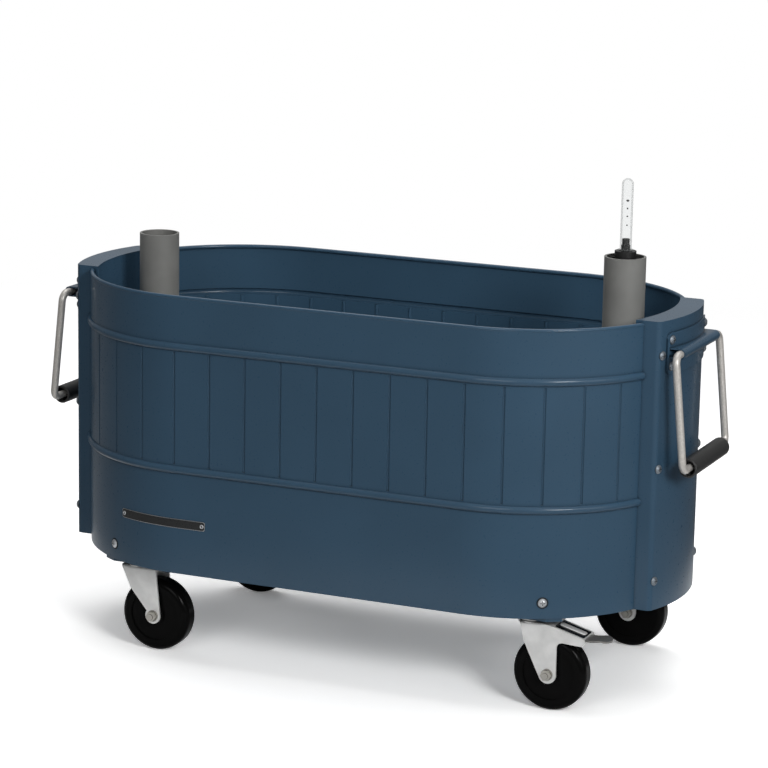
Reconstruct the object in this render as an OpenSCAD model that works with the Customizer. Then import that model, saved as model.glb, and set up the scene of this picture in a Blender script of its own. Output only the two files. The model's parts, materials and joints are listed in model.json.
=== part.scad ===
// Rolling planter: an oval sheet-steel tub on four swivel casters, with a bail handle at each
// end and a self-watering insert inside.
// Frame: origin on the floor under the middle of the tub, +X along the tub's length, the front
// shell towards -Y, +Z up. All sizes are in millimetres.

/* [Tub] */
// Length of the straight middle of the tub
tub_straight = 330; // [280:5:380]
// Outer radius of the rounded ends, which is half the width of the tub
tub_radius = 169.5; // [160:0.5:180]
// Height of the two long shells
shell_height = 301; // [285:1:340]
// Thickness of the painted sheet
sheet = 1; // [0.8:0.1:1.4]
// Radius of the rolled hem along the rim
hem_radius = 2.2; // [1.8:0.1:2.8]
// How far the hem stands proud of the wall
hem_proud = 0.4; // [0.2:0.1:0.8]

/* [Beads and grooves] */
// Height of the lower bead above the bottom edge of the shell
lower_bead_height = 114; // [105:1:125]
// Height of the upper bead above the bottom edge of the shell
upper_bead_height = 246.5; // [235:0.5:255]
// Outer radius of the half-round beads
bead_radius = 4.5; // [3.5:0.1:5.5]
// Spacing of the upright grooves, measured along the wall
groove_pitch = 41.2; // [36:0.2:60]
// Radius of the pressed grooves
groove_radius = 1.6; // [1.3:0.1:2]
// Depth of the pressed grooves
groove_depth = 1; // [0.6:0.1:1.2]
// Plain wall between a bead and the end of a groove
groove_margin = 1; // [0.5:0.5:5]
// Plain wall between the last groove and the end of the shell
groove_end_margin = 24; // [18:1:40]

/* [End posts] */
// Width of the post at each end of the tub
post_width = 142; // [134:1:150]
// How far the middle of the post stands out past the round end of the tub
post_reach = 15; // [13:0.5:18]
// How far the middle of the inner wall lies inside the round end of the tub
post_inset = 11.8; // [10:0.1:14]
// Bow of the outer face between its two creases
outer_bow = 13.5; // [12:0.5:15]
// Bow of the inner wall
inner_bow = 12.5; // [11:0.5:14]
// Outer radius of the crease bends
crease_radius = 6.5; // [4:0.5:7]
// How far the top of the post stands above the rim
post_rise = 2.5; // [1:0.5:6]
// Width of the lips behind the outer face that the screws bite into
lip_width = 11; // [10:0.5:12]

/* [Handle brackets] */
// Height of the handle rod above the bottom edge of the shell
rod_height = 269.5; // [255:0.5:275]
// Gap between the outer face of the post and the handle rod
rod_gap = 0.6; // [0.5:0.1:4]
// Thickness of the bracket plate
bracket_sheet = 1.5; // [1.2:0.1:2]
// Half the width of the bracket flanges
bracket_half = 60; // [57:0.5:61]
// How far the rolled nose stops short of the flanges' ends
nose_inset = 3; // [2.5:0.5:8]
// Height of the upper flange above the rod
upper_flange = 21; // [18:0.5:24]
// Depth of the lower flange below the rod
lower_flange = 22; // [18:0.5:24]
// Radius of the flanges' corners
flange_corner = 6; // [3:0.5:8]

/* [Bail handles] */
// Diameter of the handle wire
wire_diameter = 8; // [6:0.5:9]
// Spacing of the two legs, centre to centre
leg_spacing = 143; // [139:1:145]
// Radius of the wire's bends, to the middle of the wire
wire_bend = 9; // [8:0.5:10]
// Distance from the bracket rod to the grip rod
bail_drop = 118.8; // [105:0.2:135]
// Lean of the hanging handle away from the post, in degrees
bail_lean = 5.8; // [4:0.1:8]
// Gap between the two ends of the wire inside the bracket
wire_end_gap = 2; // [1:0.5:6]
// Diameter of the grip
grip_diameter = 20; // [18:0.5:22]
// Length of the grip
grip_length = 110; // [90:1:112]
// Depth of the open recess in each end of the grip
grip_recess = 14; // [8:1:24]
// Wall of the grip around its recess
grip_wall = 2.2; // [1.6:0.1:3]

/* [Floor] */
// How far the floor lies above the bottom edge of the shells
floor_rise = 3; // [2:0.5:6]
// Thickness of the floor
floor_sheet = 1.5; // [1.2:0.1:2.5]
// Height of the floor's upturned flange
floor_flange = 28; // [24:1:40]
// Width of each cross rail
rail_width = 72; // [64:1:80]
// Length of each cross rail before its corners follow the shells
rail_length = 290; // [284:2:320]
// Depth of each cross rail
rail_depth = 6.5; // [6:0.5:10]

/* [Casters] */
// Distance of the swivel axes from the tub's round ends
caster_end_inset = 106.1; // [100:0.1:112]
// Distance of the swivel axes from the tub's long sides
caster_side_inset = 45.2; // [42:0.1:50]
// Diameter of the wheels
wheel_diameter = 80; // [76:1:81]
// Width of the wheels' tread
wheel_width = 24; // [20:0.5:25]
// Radius of the wheel's rounded shoulders
shoulder = 7.5; // [5:0.5:9]
// Distance of the axle behind the swivel axis
trail = 22.8; // [20:0.2:26]
// Thickness of the fork's plate
fork_sheet = 2; // [1.6:0.1:2.2]
// Radius of the rounded end of a leg with a brake
leg_end = 9.6; // [9:0.1:10.5]
// Free width between the fork's legs
fork_gap = 27; // [26.5:0.1:30]
// Height of the crown's underside above the top of the wheel
crown_gap = 11; // [10:0.5:16]
// Height of the swivel race between the fork and the cross rail
race_height = 8.8; // [8:0.1:12]
// Radius of the swivel race
race_radius = 15; // [14:0.5:16]
// Radius of the swivel stem
stem_radius = 6; // [5:0.5:6.5]
// Radius of the axle bolt
axle_radius = 3; // [3:0.5:4]

/* [Brakes] */
// Pin position behind the swivel axis
brake_pin_x = 35.8; // [34.5:0.1:37]
// Pin height below the top of the fork
brake_pin_drop = 9.2; // [8.6:0.1:9.8]
// Reach of the pedal's tip behind the swivel axis
pedal_reach = 87; // [80:1:92]
// Width of the pedal
pedal_width = 22; // [18:1:24]
// Gap between the released shoe and the wheel
shoe_gap = 2.4; // [2.2:0.1:3]

/* [Watering insert] */
// Height of the tray's feet
tray_feet = 8; // [7.5:0.5:12]
// Height of the tray
tray_height = 55; // [45:1:65]
// Thickness of the tray's wall and floor
tray_wall = 2.5; // [2:0.1:3.5]
// Gap between the tray and the tub
tray_gap = 11; // [10:0.5:16]
// Width of the tray's turned-out rim
tray_rim = 5; // [3:0.5:8]
// Thickness of the soil platform
platform_thickness = 3; // [2:0.5:5]
// Gap between the soil platform and the tub
platform_gap = 3.5; // [2:0.5:5]
// Spacing of the drain holes in the platform
platform_hole_pitch = 40; // [32:1:60]
// Radius of the drain holes in the platform
platform_hole_radius = 3.5; // [2.5:0.5:5]
// Radius of the wicking cups at their mouth
cup_radius = 30; // [24:1:34]
// Spacing of the wicking cups
cup_pitch = 150; // [120:5:160]
// Width of the lip that carries a wicking cup
cup_lip = 3; // [2:0.5:4]
// Wall of the wicking cups
cup_wall = 2; // [1.5:0.5:2.5]
// Height of the wicking cups' feet above the tray's floor
cup_foot_height = 9; // [6:1:14]
// Distance of the two upright tubes' axes from the inner walls of the posts
tube_inset = 50.7; // [47:0.1:56]
// Outer radius of the two upright tubes
tube_radius = 21.8; // [20:0.1:23]
// Wall of the two upright tubes
tube_wall = 2.4; // [2:0.1:3]
// Height of the filling tube above the rim
fill_tube_rise = 33; // [15:1:60]
// Height of the gauge tube above the rim
gauge_tube_rise = 53.5; // [35:0.5:80]

/* [Water gauge] */
// Radius of the gauge's socket
socket_radius = 11.3; // [10:0.1:13]
// Height of the gauge's socket
socket_height = 9; // [7:0.5:12]
// Outer radius of the clear sight tube
sight_radius = 6; // [5.5:0.1:7]
// Wall of the clear sight tube
sight_wall = 1.1; // [0.8:0.1:1.4]
// Height of the clear sight tube above its socket
sight_height = 75.5; // [68:0.5:90]
// Radius of the float's rod
float_rod_radius = 2; // [1.5:0.1:2.4]
// Radius of the float
float_radius = 15; // [11:0.5:16]
// Height of the float
float_height = 30; // [20:1:36]

/* [Screws] */
// Radius of the pan-head screws' heads
head_radius = 4.7; // [4:0.1:5.2]
// Height of the pan-head screws' heads
head_height = 2.8; // [2:0.1:3.4]
// Radius of the screws' shanks
shank_radius = 2.3; // [1.8:0.1:2.6]
// Depth of the cross recess in the heads
cross_depth = 1.4; // [0.8:0.1:1.6]
// Height of the shell screws above the bottom edge of the shell
shell_screw_height = 17; // [12:1:20]
// Place of the shell screws round the corner, in degrees from the straight side
shell_screw_angle = 29; // [25:0.5:34]
// Height of the lowest post screws above the bottom edge of the shell
low_post_screws = 31; // [20:1:45]
// Height of the highest post screws above the bottom edge of the shell
high_post_screws = 268; // [262:1:272]
// Distance of the post screws from the post's edges
post_screw_inset = 5.5; // [5:0.1:6]
// Distance of the bracket screws from the flanges' ends
bracket_screw_inset = 7.5; // [7:0.5:12]

/* [Fits] */
// Gap between formed sheets that lie against each other
seat_gap = 0.2; // [0.1:0.05:0.4]
// Radial clearance of the turning and sliding fits
running_fit = 0.08; // [0.04:0.01:0.1]
// Clearance of the screw shanks in their holes
hole_clearance = 0.3; // [0.2:0.1:0.6]

/* [Hidden] */
$fn = 96;

paint = [0.20, 0.27, 0.34];
zinc = [0.78, 0.78, 0.77];
black_plastic = [0.10, 0.10, 0.10];
grey_plastic = [0.42, 0.42, 0.41];
dark_plastic = [0.16, 0.16, 0.17];
clear_plastic = [0.85, 0.90, 0.92, 0.4];

// Heights, worked upwards from the floor through the casters
axle_z = wheel_diameter / 2;
crown_z = wheel_diameter + crown_gap;
fork_top = crown_z + 2.5;
rail_web_z = fork_top + seat_gap + race_height;
rail_sheet = 1.5;
floor_z = rail_web_z + rail_sheet;
rail_z = floor_z - rail_depth;
shell_z = floor_z - floor_rise;
floor_top = floor_z + floor_sheet;
rim_z = shell_z + shell_height;
post_top = rim_z + post_rise;
beads = [lower_bead_height, upper_bead_height];
overcut = 1;

// Plan of the tub
end_centre = tub_straight / 2;
end_x = end_centre + tub_radius;
post_half = post_width / 2;
tub_inner = tub_radius - sheet;

// Plan of a post: two bowed faces, each an arc given by its half width and bow
function bow_radius(half, bow) = (half * half + bow * bow) / (2 * bow);
outer_radius = bow_radius(post_half, outer_bow);
outer_x = end_x + post_reach;
outer_centre = outer_x - outer_radius;
inner_radius = bow_radius(post_half, inner_bow);
inner_x = end_x - post_inset;
inner_centre = inner_x - inner_radius;
function inner_x_at(y, inset = 0) = inner_centre + sqrt(pow(inner_radius + inset, 2) - y * y);

// Handle rod
wire_radius = wire_diameter / 2;
rod_x = outer_x + rod_gap + wire_radius;
rod_z = shell_z + rod_height;
leg_y = leg_spacing / 2;
nose_half = bracket_half - nose_inset;
nose_bore = wire_radius + running_fit;
flange_radius = outer_radius + seat_gap;

// Watering insert
tray_z = floor_top + tray_feet;
tray_top = tray_z + tray_height;
tray_floor = tray_z + tray_wall;
platform_top = tray_top + platform_thickness;
cup_lip_thickness = platform_thickness / 2;
tube_x = inner_x - tube_inset;
tube_bore = tube_radius - tube_wall;
gauge_tube_top = rim_z + gauge_tube_rise;
socket_z = gauge_tube_top - 3;
sight_z = socket_z + socket_height;
sight_bore = sight_radius - sight_wall;
pan_inset = sheet + seat_gap;
tray_inset = sheet + tray_gap;

// Casters
caster_x = end_x - caster_end_inset;
caster_y = tub_radius - caster_side_inset;
fork_half = fork_gap / 2 + fork_sheet;
wheel_radius = wheel_diameter / 2;
bush_radius = axle_radius + 2;
hub_radius = bush_radius + 6;
hub_half = fork_gap / 2 - 0.3;
brake_pin_z = fork_top - brake_pin_drop;
brake_pin_radius = 1.6;

// ---------------------------------------------------------------- shared shapes

// An arc of upright sheet: outer radius r, from angle a0 to a1, standing on z
module sheet_arc(r, thickness, a0, a1, z, height) {
    translate([0, 0, z])
        rotate([0, 0, a0])
            rotate_extrude(angle = a1 - a0)
                translate([r - thickness, 0])
                    square([thickness, height]);
}

// Oval plan of the tub, drawn in by inset
module oval(inset) {
    square([tub_straight, 2 * (tub_radius - inset)], center = true);
    for (side = [-1, 1])
        translate([side * end_centre, 0])
            circle(r = tub_radius - inset);
}

// Plan area that the right post takes up, grown by gap
module post_area(gap) {
    difference() {
        translate([inner_x - 2 * inner_bow, -post_half - gap])
            square([post_reach + 4 * inner_bow, post_width + 2 * gap]);
        translate([inner_centre, 0])
            circle(r = inner_radius - gap);
    }
}

// Plan of the space inside the tub, drawn in by inset
module tub_plan(inset) {
    difference() {
        oval(inset);
        for (side = [0, 1])
            mirror([side, 0])
                post_area(inset);
    }
}

// A pan-head screw with a cross recess, its seat at the origin and its shank along -Z
module pan_screw(length) {
    dome = head_radius * 1.25;
    difference() {
        intersection() {
            cylinder(r = head_radius, h = head_height);
            translate([0, 0, head_height - dome])
                sphere(r = dome);
        }
        for (turn = [0, 90])
            rotate([0, 0, turn])
                translate([-head_radius * 0.55, -0.5, head_height - cross_depth])
                    cube([head_radius * 1.1, 1, cross_depth + overcut]);
    }
    translate([0, 0, -length])
        cylinder(r = shank_radius, h = length);
}

// Turns +Z to the outward direction at an angle in plan, out at a distance r
module facing(angle, r) {
    rotate([0, 0, angle])
        translate([r, 0, 0])
            rotate([0, 90, 0])
                children();
}

// Places children on the four caster corners
module at_corner(x_side, y_side) {
    translate([x_side * caster_x, y_side * caster_y, 0])
        children();
}

// ---------------------------------------------------------------- long shells

// Section of a shell wall, its surfaces moved out by grow: radius along x, height along y
module wall_section(grow = 0) {
    bead_bore = bead_radius - sheet;
    inner = tub_inner - grow;
    difference() {
        union() {
            translate([inner, 0])
                square([sheet + 2 * grow, shell_height - hem_radius]);
            for (height = beads)
                translate([tub_inner, height])
                    circle(r = bead_radius + grow, $fn = 32);
            translate([tub_radius - hem_radius + hem_proud, shell_height - hem_radius])
                circle(r = hem_radius + grow, $fn = 24);
        }
        for (height = beads)
            translate([tub_inner, height])
                circle(r = bead_bore - grow, $fn = 32);
        translate([inner - 2 * bead_radius, 0])
            square([2 * bead_radius, upper_bead_height + 2 * bead_radius]);
    }
}

// Places children on the back wall at distance s along it, with +X pointing outwards
module along_wall(s) {
    side = s < 0 ? -1 : 1;
    past = max(abs(s) - end_centre, 0);
    turn = past / tub_radius * 180 / PI;
    translate([side * min(abs(s), end_centre), 0, 0])
        rotate([0, 0, 90 - side * turn])
            children();
}

shell_end_angle = acos(post_half / (tub_radius + bead_radius)) + 1;
shell_half_length = end_centre + tub_radius * acos(post_half / tub_radius) * PI / 180;
grooves_each_side = floor((shell_half_length - groove_end_margin) / groove_pitch);
groove_z = lower_bead_height + bead_radius + groove_margin;
groove_top = upper_bead_height - bead_radius - groove_margin;
groove_offset = tub_radius + groove_radius - groove_depth;

module each_groove() {
    for (i = [-grooves_each_side : grooves_each_side])
        along_wall(i * groove_pitch)
            translate([groove_offset, 0, 0])
                children();
}

// Back shell: beaded wall, bent flanges at both ends, upright grooves with their ridges inside
module shell() {
    // The straight wall stands this much proud, so that it meets the round ends in a clean edge
    step = 0.02;
    ridge = groove_radius + sheet;
    flange_x = inner_x_at(post_half);
    wall_x = end_centre + sqrt(pow(tub_inner + sheet / 2, 2) - pow(post_half, 2));
    translate([0, 0, shell_z])
        difference() {
            union() {
                translate([-end_centre, 0, 0])
                    rotate([90, 0, 90])
                        linear_extrude(tub_straight)
                            wall_section(step);
                translate([end_centre, 0, 0])
                    rotate([0, 0, 90 - shell_end_angle])
                        rotate_extrude(angle = shell_end_angle)
                            wall_section();
                translate([-end_centre, 0, 0])
                    rotate([0, 0, 90])
                        rotate_extrude(angle = shell_end_angle)
                            wall_section();
                each_groove()
                    translate([0, 0, groove_z - sheet])
                        linear_extrude(groove_top - groove_z + 2 * sheet)
                            intersection() {
                                circle(r = ridge, $fn = 16);
                                translate([-2 * ridge - groove_radius + groove_depth - sheet / 2, -ridge])
                                    square(2 * ridge);
                            }
                for (side = [0, 1])
                    mirror([side, 0, 0])
                        translate([flange_x, post_half, 2 * bead_radius])
                            cube([wall_x - flange_x, sheet, shell_height - 4 * bead_radius]);
            }
            each_groove()
                translate([0, 0, groove_z])
                    cylinder(r = groove_radius, h = groove_top - groove_z, $fn = 16);
            translate([-end_x - bead_radius, post_half - tub_radius, -overcut])
                cube([2 * (end_x + bead_radius), tub_radius, shell_height + 2 * overcut]);
            for (side = [-1, 1])
                translate([side * end_centre, 0, shell_screw_height])
                    facing(90 - side * shell_screw_angle, tub_radius - 2 * sheet)
                        cylinder(r = shank_radius + hole_clearance, h = 4 * sheet);
        }
}

module front_shell() {
    color(paint)
        rotate([0, 0, 180])
            shell();
}

module back_shell() {
    color(paint)
        shell();
}

// ---------------------------------------------------------------- end posts

bend_centre_y = post_half - crease_radius;
bend_centre_x = outer_centre + sqrt(pow(outer_radius - crease_radius, 2) - pow(bend_centre_y, 2));
crease_angle = asin(bend_centre_y / (outer_radius - crease_radius));
crease_turn = (90 - crease_angle) / 2;

// Cuts off the corners outside the bends, along a line set back from the bend's centre
module corner_cuts(setback) {
    for (side = [0, 1])
        mirror([0, side])
            translate([bend_centre_x, bend_centre_y])
                rotate(crease_angle + crease_turn)
                    translate([setback, -2 * crease_radius])
                        square(4 * crease_radius);
}

// Plan of the post from start_x out to its bowed face, its outline drawn in by inset
module post_plan(inset, start_x) {
    // The bends stand this much proud, so that they cut cleanly into the flat and bowed faces
    proud = 0.02;
    difference() {
        intersection() {
            translate([outer_centre, 0])
                circle(r = outer_radius - inset);
            translate([start_x, -post_half + inset])
                square([outer_x - start_x, post_width - 2 * inset]);
        }
        corner_cuts((crease_radius - inset) * cos(crease_turn));
    }
    for (side = [-1, 1])
        translate([bend_centre_x, side * bend_centre_y])
            circle(r = crease_radius - inset + proud);
}

// Plan of the folded sheet that lies inset from the post's outer surface
module folded_plan(inset, start_x) {
    difference() {
        post_plan(inset, start_x);
        post_plan(inset + sheet, start_x - overcut);
    }
}

// Crescent ledge on top of the post, let into the folded sheet by half its thickness
module ledge_plan() {
    half_in = sheet / 2;
    difference() {
        intersection() {
            translate([outer_centre, 0])
                circle(r = outer_radius - half_in);
            translate([0, -post_half + half_in])
                square([outer_x, post_width - 2 * half_in]);
        }
        translate([inner_centre, 0])
            circle(r = inner_radius);
        corner_cuts(crease_radius - half_in);
    }
}

post_screw_angle = asin((post_half - post_screw_inset) / outer_radius);
post_screw_heights = [low_post_screws, (low_post_screws + high_post_screws) / 2, high_post_screws];

module post_screw_holes(radius) {
    for (height = post_screw_heights)
        for (side = [-1, 1])
            translate([outer_centre, 0, shell_z + height])
                facing(side * post_screw_angle, outer_radius - 4 * sheet)
                    cylinder(r = radius, h = 6 * sheet);
}

bracket_screw_angle = asin((bracket_half - bracket_screw_inset) / outer_radius);
bracket_screw_heights = [rod_height + (upper_flange + nose_bore + bracket_sheet) / 2,
                         rod_height - (lower_flange + nose_bore + bracket_sheet) / 2];

module bracket_screw_holes(radius) {
    for (height = bracket_screw_heights)
        for (side = [-1, 1])
            translate([outer_centre, 0, shell_z + height])
                facing(side * bracket_screw_angle, outer_radius - 4 * sheet)
                    cylinder(r = radius, h = 8 * sheet);
}

module end_panel() {
    difference() {
        union() {
            translate([0, 0, shell_z])
                linear_extrude(post_top - shell_z)
                    folded_plan(0, inner_x_at(post_half));
            translate([0, 0, post_top - sheet])
                linear_extrude(sheet)
                    ledge_plan();
        }
        post_screw_holes(shank_radius + hole_clearance);
        bracket_screw_holes(shank_radius + hole_clearance);
    }
}

// Inner wall of a post: bowed wall towards the soil, webs along the panel's sides and lips
// behind its face
module inner_wall() {
    inset = sheet + seat_gap;
    reach = post_half - inset;
    lip_edge = post_half - lip_width;
    difference() {
        translate([0, 0, shell_z])
            linear_extrude(post_top - sheet - seat_gap - shell_z) {
                difference() {
                    folded_plan(inset, inner_x_at(reach));
                    translate([inner_x, -lip_edge])
                        square([outer_x - inner_x, 2 * lip_edge]);
                }
                intersection() {
                    translate([inner_centre, 0])
                        difference() {
                            circle(r = inner_radius + sheet);
                            circle(r = inner_radius);
                        }
                    translate([inner_centre, -reach + sheet / 2])
                        square([inner_radius + 2 * sheet, 2 * reach - sheet]);
                }
            }
        post_screw_holes(shank_radius + seat_gap);
    }
}

module left_end_panel() {
    color(paint)
        mirror([1, 0, 0])
            end_panel();
}

module right_end_panel() {
    color(paint)
        end_panel();
}

module left_inner_wall() {
    color(paint)
        mirror([1, 0, 0])
            inner_wall();
}

module right_inner_wall() {
    color(paint)
        inner_wall();
}

// ---------------------------------------------------------------- handle brackets

// Bowed flange plate with rounded corners, with a rolled saddle round the handle rod
module bracket() {
    low = rod_z - lower_flange;
    high = rod_z + upper_flange;
    reach = asin(bracket_half / flange_radius);
    nose_outer = nose_bore + bracket_sheet;
    corner_centre = flange_corner - 0.05;
    difference() {
        union() {
            difference() {
                translate([outer_centre, 0, 0])
                    sheet_arc(flange_radius + bracket_sheet, bracket_sheet, -reach, reach, low, high - low);
                translate([outer_centre, -nose_half, rod_z - nose_bore])
                    cube([2 * outer_radius, 2 * nose_half, 2 * nose_bore]);
            }
            for (level = [nose_bore, -nose_outer])
                translate([rod_x - 2 * outer_bow, -nose_half, rod_z + level])
                    cube([2 * outer_bow, 2 * nose_half, bracket_sheet]);
            translate([rod_x, nose_half, rod_z])
                rotate([90, 0, 0])
                    rotate([0, 0, -90])
                        rotate_extrude(angle = 180)
                            translate([nose_bore, 0])
                                square([bracket_sheet, 2 * nose_half]);
        }
        translate([outer_centre, 0, low - overcut])
            cylinder(r = flange_radius, h = high - low + 2 * overcut);
        for (side = [0, 1])
            mirror([0, side, 0])
                for (corner = [[low, 1], [high, -1]])
                    translate([bend_centre_x, bracket_half - corner_centre, corner[0] + corner[1] * corner_centre])
                        difference() {
                            translate([0, 0, corner[1] > 0 ? -flange_corner - overcut : 0])
                                cube([outer_bow * 2, flange_corner + overcut, flange_corner + overcut]);
                            translate([-overcut, 0, 0])
                                rotate([0, 90, 0])
                                    cylinder(r = flange_corner, h = outer_bow * 2 + 2 * overcut);
                        }
        bracket_screw_holes(shank_radius + hole_clearance);
    }
}

module left_handle_bracket() {
    color(paint)
        mirror([1, 0, 0])
            bracket();
}

module right_handle_bracket() {
    color(paint)
        bracket();
}

// ---------------------------------------------------------------- screws

module shell_screws() {
    color(zinc)
        for (front = [0, 180])
            rotate([0, 0, front])
                for (side = [-1, 1])
                    translate([side * end_centre, 0, shell_z + shell_screw_height])
                        facing(90 - side * shell_screw_angle, tub_radius) {
                            pan_screw(10);
                            translate([0, 0, -sheet - seat_gap - floor_sheet - 4.3])
                                cylinder(r = 4.4, h = 4, $fn = 6);
                        }
}

module post_screws() {
    color(zinc)
        for (end = [0, 1])
            mirror([end, 0, 0])
                for (height = post_screw_heights)
                    for (side = [-1, 1])
                        translate([outer_centre, 0, shell_z + height])
                            facing(side * post_screw_angle, outer_radius)
                                pan_screw(7);
}

module bracket_screws() {
    color(zinc)
        for (end = [0, 1])
            mirror([end, 0, 0])
                for (height = bracket_screw_heights)
                    for (side = [-1, 1])
                        translate([outer_centre, 0, shell_z + height])
                            facing(side * bracket_screw_angle, flange_radius + bracket_sheet) {
                                pan_screw(9);
                                translate([0, 0, -bracket_sheet - seat_gap - sheet - 4.2])
                                    cylinder(r = 4.4, h = 4, $fn = 6);
                            }
}

// ---------------------------------------------------------------- bail handles

// Wire bent into a closed bail, hanging from the rod axis at the origin
module bail_wire() {
    straight_y = leg_y - wire_bend;
    for (side = [0, 1])
        mirror([0, side, 0]) {
            translate([0, wire_end_gap / 2, 0])
                rotate([-90, 0, 0])
                    cylinder(r = wire_radius, h = straight_y - wire_end_gap / 2);
            translate([0, straight_y, -wire_bend])
                rotate([90, 0, 90])
                    rotate_extrude(angle = 90)
                        translate([wire_bend, 0])
                            circle(r = wire_radius);
            translate([0, leg_y, -bail_drop + wire_bend])
                cylinder(r = wire_radius, h = bail_drop - 2 * wire_bend);
            translate([0, straight_y, -bail_drop + wire_bend])
                rotate([0, 90, 0])
                    rotate_extrude(angle = 90)
                        translate([wire_bend, 0])
                            circle(r = wire_radius);
        }
    translate([0, -straight_y, -bail_drop])
        rotate([-90, 0, 0])
            cylinder(r = wire_radius, h = 2 * straight_y);
}

// Tubular grip with open ends, turning on the lower rod of the bail
module grip_tube() {
    grip_radius = grip_diameter / 2;
    recess_radius = grip_radius - grip_wall;
    translate([0, 0, -bail_drop])
        rotate([-90, 0, 0])
            difference() {
                union() {
                    difference() {
                        rotate_extrude()
                            grip_section(grip_radius);
                        for (end = [0, 1])
                            mirror([0, 0, end])
                                translate([0, 0, grip_length / 2 - grip_recess])
                                    cylinder(r = recess_radius, h = grip_recess + overcut);
                    }
                    for (end = [0, 1])
                        mirror([0, 0, end])
                            for (turn = [0 : 90 : 270])
                                rotate([0, 0, turn])
                                    translate([wire_radius + 0.6, -0.6, grip_length / 2 - grip_recess - 0.1])
                                        cube([recess_radius - wire_radius - 0.4, 1.2, grip_recess - 2.9]);
                }
                cylinder(r = wire_radius + running_fit, h = grip_length + 2 * overcut, center = true);
                rotate([90, 0, 0])
                    cylinder(r = 1.3, h = grip_diameter);
            }
}

// Half section of the grip with eased ends
module grip_section(grip_radius) {
    ease = 1.2;
    translate([0, -grip_length / 2 + ease])
        square([grip_radius, grip_length - 2 * ease]);
    for (end = [0, 1])
        mirror([0, end])
            polygon([
                [0, grip_length / 2 - ease],
                [grip_radius, grip_length / 2 - ease],
                [grip_radius - 0.3 * ease, grip_length / 2 - 0.35 * ease],
                [grip_radius - ease, grip_length / 2],
                [0, grip_length / 2]
            ]);
}

module hang() {
    translate([rod_x, 0, rod_z])
        rotate([0, -bail_lean, 0])
            children();
}

module left_bail() {
    color(zinc)
        mirror([1, 0, 0])
            hang()
                bail_wire();
}

module right_bail() {
    color(zinc)
        hang()
            bail_wire();
}

module left_grip() {
    color(black_plastic)
        mirror([1, 0, 0])
            hang()
                grip_tube();
}

module right_grip() {
    color(black_plastic)
        hang()
            grip_tube();
}

// ---------------------------------------------------------------- floor and cross rails

drain_radius = 10;

module floor_pan() {
    color(paint)
        difference() {
            translate([0, 0, floor_z])
                linear_extrude(floor_flange)
                    tub_plan(pan_inset);
            translate([0, 0, floor_top])
                linear_extrude(floor_flange)
                    tub_plan(pan_inset + floor_sheet);
            translate([0, 0, floor_z - overcut])
                cylinder(r = drain_radius + 2, h = floor_sheet + 2 * overcut);
            for (x_side = [-1, 1])
                for (y_side = [-1, 1])
                    at_corner(x_side, y_side)
                        translate([0, 0, floor_z - overcut])
                            cylinder(r = stem_radius + hole_clearance, h = floor_sheet + 2 * overcut);
            for (front = [0, 180])
                rotate([0, 0, front])
                    for (side = [-1, 1])
                        translate([side * end_centre, 0, shell_z + shell_screw_height])
                            facing(90 - side * shell_screw_angle, tub_radius - 5 * sheet)
                                cylinder(r = shank_radius + hole_clearance, h = 5 * sheet);
        }
}

// Plan of the right cross rail, its outer corners following the shells
module rail_plan(inset) {
    intersection() {
        translate([caster_x - rail_width / 2 + inset, -rail_length / 2 + inset])
            square([rail_width - 2 * inset, rail_length - 2 * inset]);
        oval(pan_inset + inset);
    }
}

// Pressed tray, open downwards, that stiffens the floor and carries two casters
module cross_rail() {
    difference() {
        translate([0, 0, rail_z])
            linear_extrude(rail_depth)
                rail_plan(0);
        translate([0, 0, rail_z - overcut])
            linear_extrude(rail_depth - rail_sheet + overcut)
                rail_plan(rail_sheet);
        for (y_side = [-1, 1])
            at_corner(1, y_side)
                translate([0, 0, rail_web_z - overcut])
                    cylinder(r = stem_radius + hole_clearance, h = rail_sheet + 2 * overcut);
    }
}

module left_cross_rail() {
    color(paint)
        mirror([1, 0, 0])
            cross_rail();
}

module right_cross_rail() {
    color(paint)
        cross_rail();
}

// ---------------------------------------------------------------- casters

// Swivel race with its stem: the crown of the fork turns between the race and the stem's head
module caster_mount() {
    head_z = crown_z - seat_gap;
    stem_top = floor_top + 7;
    cylinder_between(head_z - 3.5, stem_top, stem_radius);
    cylinder_between(head_z - 3.5, head_z, stem_radius + 4);
    translate([0, 0, fork_top + seat_gap])
        rotate_extrude()
            polygon([
                [0, 0],
                [race_radius - 1, 0],
                [race_radius, 1],
                [race_radius, race_height - 3],
                [race_radius - 2, race_height],
                [0, race_height]
            ]);
}

module cylinder_between(z0, z1, r) {
    translate([0, 0, z0])
        cylinder(r = r, h = z1 - z0);
}

module caster_nuts() {
    color(zinc)
        for (x_side = [-1, 1])
            for (y_side = [-1, 1])
                at_corner(x_side, y_side)
                    translate([0, 0, floor_top])
                        difference() {
                            union() {
                                cylinder(r = stem_radius + 6, h = 1);
                                cylinder(r = stem_radius + 4.5, h = 6, $fn = 6);
                            }
                            translate([0, 0, -overcut])
                                cylinder(r = stem_radius + seat_gap, h = 6 + 2 * overcut);
                        }
}

// Side outline of a plain leg, from the crown down round the axle
module plain_leg_outline() {
    end_radius = 0.92 * leg_end;
    translate([trail, axle_z])
        circle(r = end_radius);
    polygon([
        [-15.5, fork_top],
        [trail + 3.5, fork_top],
        [trail + end_radius * 0.99, axle_z + 1],
        [trail, axle_z],
        [trail - end_radius * 0.82, axle_z + end_radius * 0.57],
        [-4.5, fork_top - 24.5]
    ]);
}

// Side outline of a leg that carries the brake housing
housing_end = [brake_pin_x + 25.9, fork_top - 10.9];
housing_foot = [housing_end[0] - 1.8, fork_top - 19];

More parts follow.
